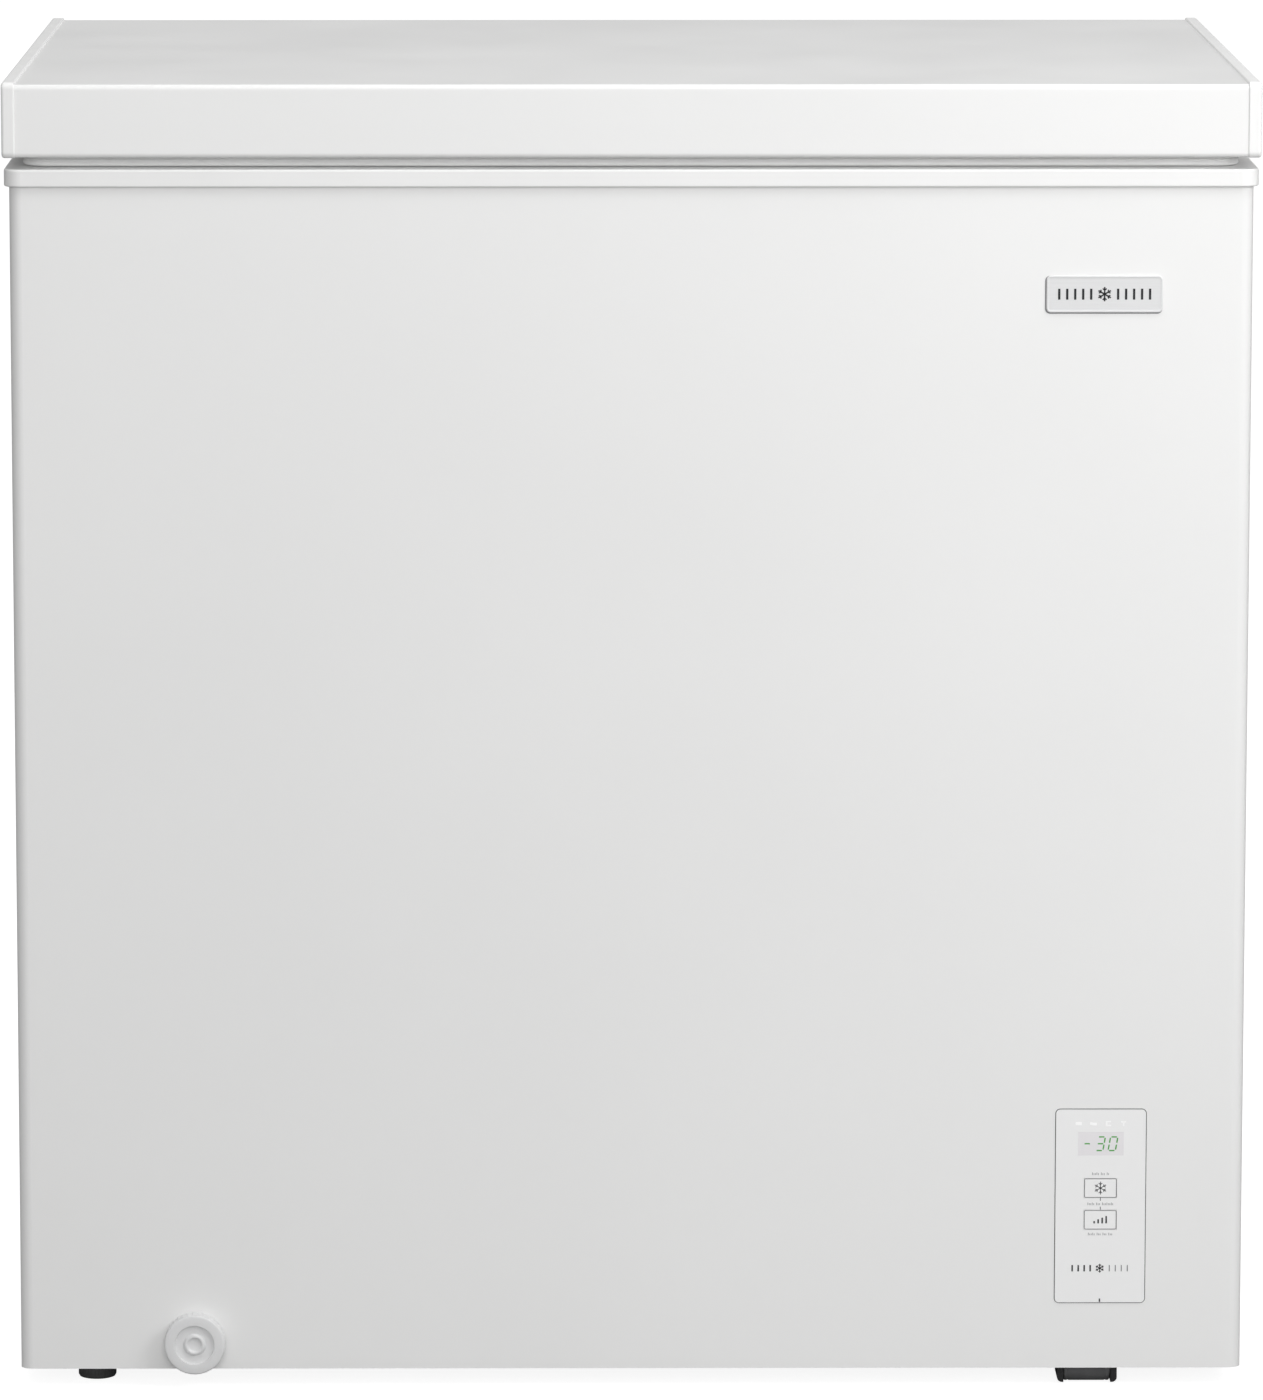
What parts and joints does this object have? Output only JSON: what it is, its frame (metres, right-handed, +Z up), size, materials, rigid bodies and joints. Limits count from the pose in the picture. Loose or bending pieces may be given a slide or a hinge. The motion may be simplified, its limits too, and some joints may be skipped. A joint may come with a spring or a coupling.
{
  "type": "chest freezer",
  "caption": "Chest freezer: insulated box on levelling feet and rollers, top-hinged lid, drain plug, control panel and sliding wire basket.",
  "frame": {"origin": "on the floor, at the centre of the footprint's bounding box", "axes": "+Z up, the front with the control panel faces -Y, +X to the right as seen from the front"},
  "size_m": [0.802, 0.563, 0.851],
  "materials": {
    "white_enamel": "white polyester enamel, fine orange peel, semi-gloss",
    "galvanised_steel": "galvanised sheet with a fine spangle",
    "grey_steel": "grey powder coat",
    "black_steel": "black stoving paint, satin",
    "zinc_steel": "bright zinc plate",
    "white_plastic": "white ABS, satin",
    "white_panel": "vacuum-formed white polystyrene",
    "liner_aluminium": "white-coated aluminium, stucco embossed",
    "foam": "cut cell polyurethane foam",
    "gasket_vinyl": "soft white vinyl, matte",
    "copper": "drawn copper, slightly oxidised",
    "black_plastic": "fine-grained black",
    "grey_plastic": "fine-grained grey nylon",
    "grey_fascia": "satin film overlay, light grey",
    "key_film": "satin film, mid grey",
    "window_dark": "tinted display window, pale violet grey",
    "circuit_board": "green solder mask",
    "black_rubber": "moulded rubber",
    "wire_white": "white vinyl-dipped steel wire",
    "badge_metal": "satin silver"
  },
  "bodies": {
    "cabinet": {"outer_shell": "white_enamel", "back_panel": "galvanised_steel", "base_pan": "galvanised_steel", "rim_collar": "white_plastic", "inner_liner": "liner_aluminium", "foam_insulation": "foam", "bay_wall": "galvanised_steel", "evaporator_coil": "copper", "condenser_coil": "black_steel", "suction_tube": "copper", "discharge_tube": "copper", "liquid_tube": "copper", "capillary_tube": "copper", "filter_drier": "copper", "compressor_shell": "black_steel", "compressor_motor": "grey_steel", "compressor_grommets": "black_rubber", "relay_cover": "black_plastic", "wiring_loom": "black_plastic", "side_grille": "white_plastic", "rear_cover": "galvanised_steel", "cover_screws": "zinc_steel", "cord_gland": "black_plastic", "control_housing": "black_plastic", "control_fascia": "grey_fascia", "display_window": "window_dark", "display_board": "circuit_board", "digit_display": "black_plastic", "key_switches": "black_plastic", "badge_plate": "badge_metal", "drain_collar": "white_plastic", "drain_tube": "white_plastic", "foot_sockets": "grey_plastic", "roller_brackets": "black_plastic", "roller_axles": "zinc_steel", "hinge_bracket_left": "zinc_steel", "hinge_bracket_right": "zinc_steel", "hinge_pins": "zinc_steel", "hinge_springs": "black_steel", "bracket_screws": "zinc_steel"},
    "lid": {"lid_skin": "white_enamel", "lid_cap_left": "white_plastic", "lid_cap_right": "white_plastic", "lid_foam": "foam", "lid_panel": "white_panel", "lid_gasket": "gasket_vinyl", "hinge_leaf_left": "zinc_steel", "hinge_leaf_right": "zinc_steel", "leaf_screws": "zinc_steel"},
    "drain_plug": {"drain_plug": "white_plastic"},
    "drain_stopper": {"drain_stopper": "white_plastic"},
    "upper_key": {"upper_key": "key_film"},
    "lower_key": {"lower_key": "key_film"},
    "front_foot": {"front_foot": "black_plastic"},
    "rear_foot": {"rear_foot": "black_plastic"},
    "front_roller": {"front_roller": "grey_plastic"},
    "rear_roller": {"rear_roller": "grey_plastic"},
    "basket": {"basket_base": "wire_white", "basket_sides": "wire_white", "basket_ends": "wire_white"}
  },
  "joints": [
    {"name": "lid_hinge", "type": "hinge", "parent": "cabinet", "child": "lid", "pos_m": [0, 0.276, 0.796], "axis": [-1, 0, 0], "range_deg": [0, 85], "stiffness_Nm_per_rad": 5.6, "springref_deg": 116.31},
    {"name": "drain_plug_pull", "type": "slide", "parent": "cabinet", "child": "drain_plug", "axis": [0, -1, 0], "range_m": [0, 0.03]},
    {"name": "drain_stopper_lift", "type": "slide", "parent": "cabinet", "child": "drain_stopper", "axis": [0, 0, 1], "range_m": [0, 0.05]},
    {"name": "upper_key_press", "type": "slide", "parent": "cabinet", "child": "upper_key", "axis": [0, 1, 0], "range_m": [0, 0.0005], "stiffness_N_per_m": 4000},
    {"name": "lower_key_press", "type": "slide", "parent": "cabinet", "child": "lower_key", "axis": [0, 1, 0], "range_m": [0, 0.0005], "stiffness_N_per_m": 4000},
    {"name": "front_foot_turn", "type": "hinge", "parent": "cabinet", "child": "front_foot", "pos_m": [-0.349, -0.236, 0], "axis": [0, 0, 1], "continuous": true},
    {"name": "rear_foot_turn", "type": "hinge", "parent": "cabinet", "child": "rear_foot", "pos_m": [-0.349, 0.232, 0], "axis": [0, 0, 1], "continuous": true},
    {"name": "front_roller_spin", "type": "hinge", "parent": "cabinet", "child": "front_roller", "pos_m": [0.2975, -0.251, 0.013], "axis": [1, 0, 0], "continuous": true},
    {"name": "rear_roller_spin", "type": "hinge", "parent": "cabinet", "child": "rear_roller", "pos_m": [0.2975, 0.2385, 0.013], "axis": [1, 0, 0], "continuous": true},
    {"name": "basket_slide", "type": "slide", "parent": "cabinet", "child": "basket", "axis": [1, 0, 0], "range_m": [0, 0.37]}
  ]
}
